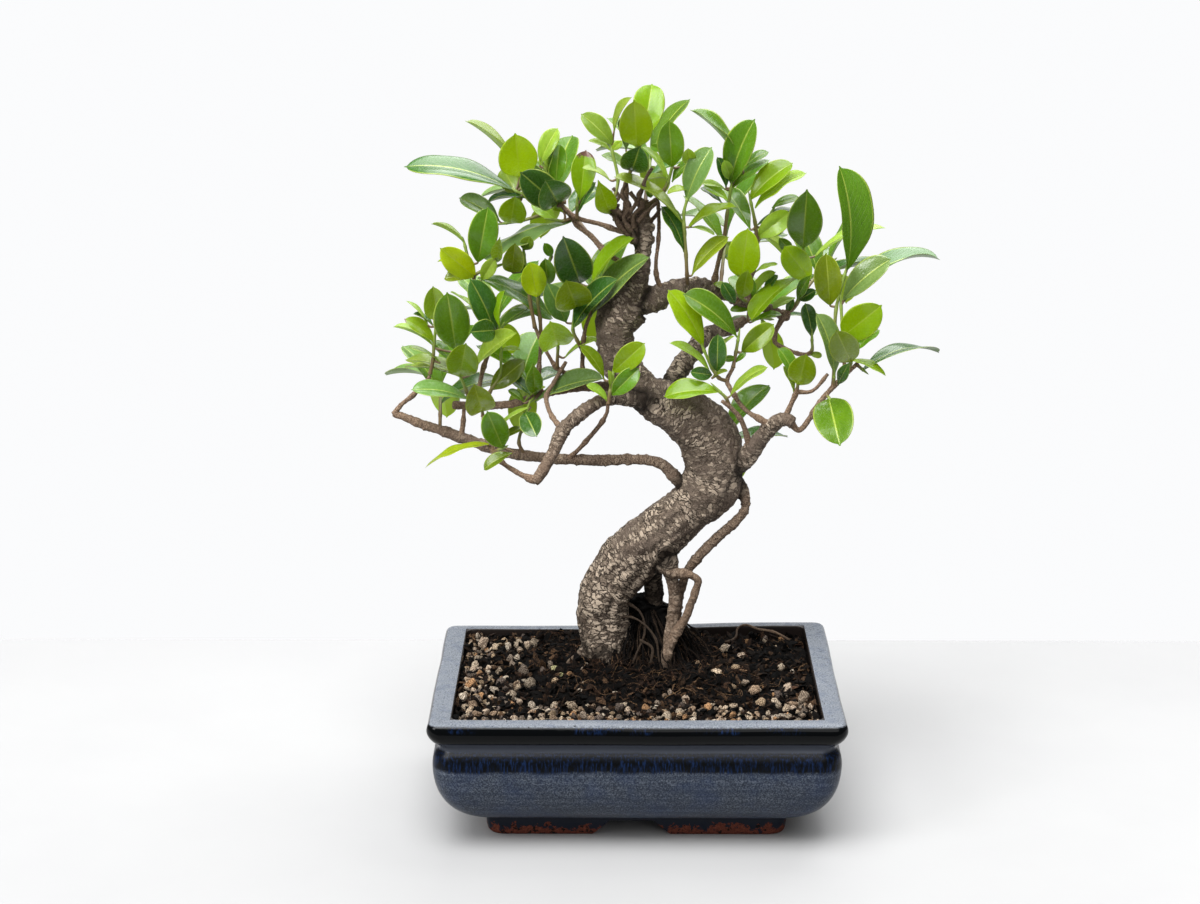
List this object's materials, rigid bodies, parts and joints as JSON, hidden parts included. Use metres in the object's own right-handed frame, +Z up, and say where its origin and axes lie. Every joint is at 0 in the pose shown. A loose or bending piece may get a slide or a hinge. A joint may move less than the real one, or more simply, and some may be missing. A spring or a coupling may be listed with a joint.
{
  "type": "bonsai tree in a pot",
  "caption": "Small-leaved fig bonsai with an S-shaped trunk and aerial roots, in a rectangular blue glazed tray on a low arched foot, with soil and pumice grains.",
  "frame": {"origin": "centre of the base of the bounding box, on the surface that the pot's foot stands on", "axes": "+Z up along the trunk, +X to the right seen from the front, -Y towards the front of the pot"},
  "size_m": [0.3344, 0.2436, 0.4229],
  "materials": {
    "glaze": "glossy dark blue-grey ceramic glaze, speckled, paler at the rim",
    "mesh_plastic": "matt black moulded mesh",
    "earth": "damp dark brown fibrous soil with tan pumice grains",
    "bark": "matt grey-brown bark with pale spots and rings",
    "leaf": "smooth waxy green with a pale midrib"
  },
  "bodies": {
    "root": {"pot": "glaze", "drain_mesh_left": "mesh_plastic", "drain_mesh_right": "mesh_plastic", "soil": "earth", "wood": "bark", "shoot_top_left_tip": "leaf", "shoot_top_left_upright": "leaf", "shoot_top_left_fork": "leaf", "shoot_top_left_inner": "leaf", "shoot_top_left_under": "leaf", "shoot_crown_left": "leaf", "shoot_crown_middle": "leaf", "shoot_crown_right": "leaf", "shoot_upright_right": "leaf", "shoot_inner_right": "leaf", "shoot_inner_right_upper": "leaf", "shoot_before_trunk": "leaf", "shoot_top_right": "leaf", "shoot_upper_right": "leaf", "shoot_upper_right_fork": "leaf", "shoot_mid_right": "leaf", "shoot_far_right_top": "leaf", "shoot_right_tall": "leaf", "shoot_right_reach": "leaf", "shoot_right_low": "leaf", "shoot_right_fork": "leaf", "shoot_right_end": "leaf", "shoot_right_hanging": "leaf", "shoot_right_under": "leaf", "shoot_right_inner": "leaf", "shoot_right_fan": "leaf", "shoot_mid_right_fan": "leaf", "shoot_mid_left_top": "leaf", "shoot_mid_left_fork": "leaf", "shoot_mid_left_low": "leaf", "shoot_left_upright": "leaf", "shoot_left_upright_fork": "leaf", "shoot_left_top": "leaf", "shoot_left_middle": "leaf", "shoot_far_left": "leaf", "shoot_left_low": "leaf", "shoot_left_low_spur": "leaf", "shoot_left_front_spur": "leaf", "shoot_left_inner": "leaf", "shoot_left_front": "leaf", "shoot_left_hanging": "leaf", "shoot_left_limb_fan": "leaf", "shoot_inner_left": "leaf", "shoot_rear_top": "leaf", "shoot_rear_top_left": "leaf", "shoot_rear_left": "leaf", "shoot_rear_left_low": "leaf", "shoot_rear_far_left": "leaf", "shoot_rear_middle": "leaf", "shoot_rear_right": "leaf", "shoot_rear_right_low": "leaf", "shoot_rear_far_right": "leaf", "shoot_rear_low": "leaf"}
  },
  "joints": []
}
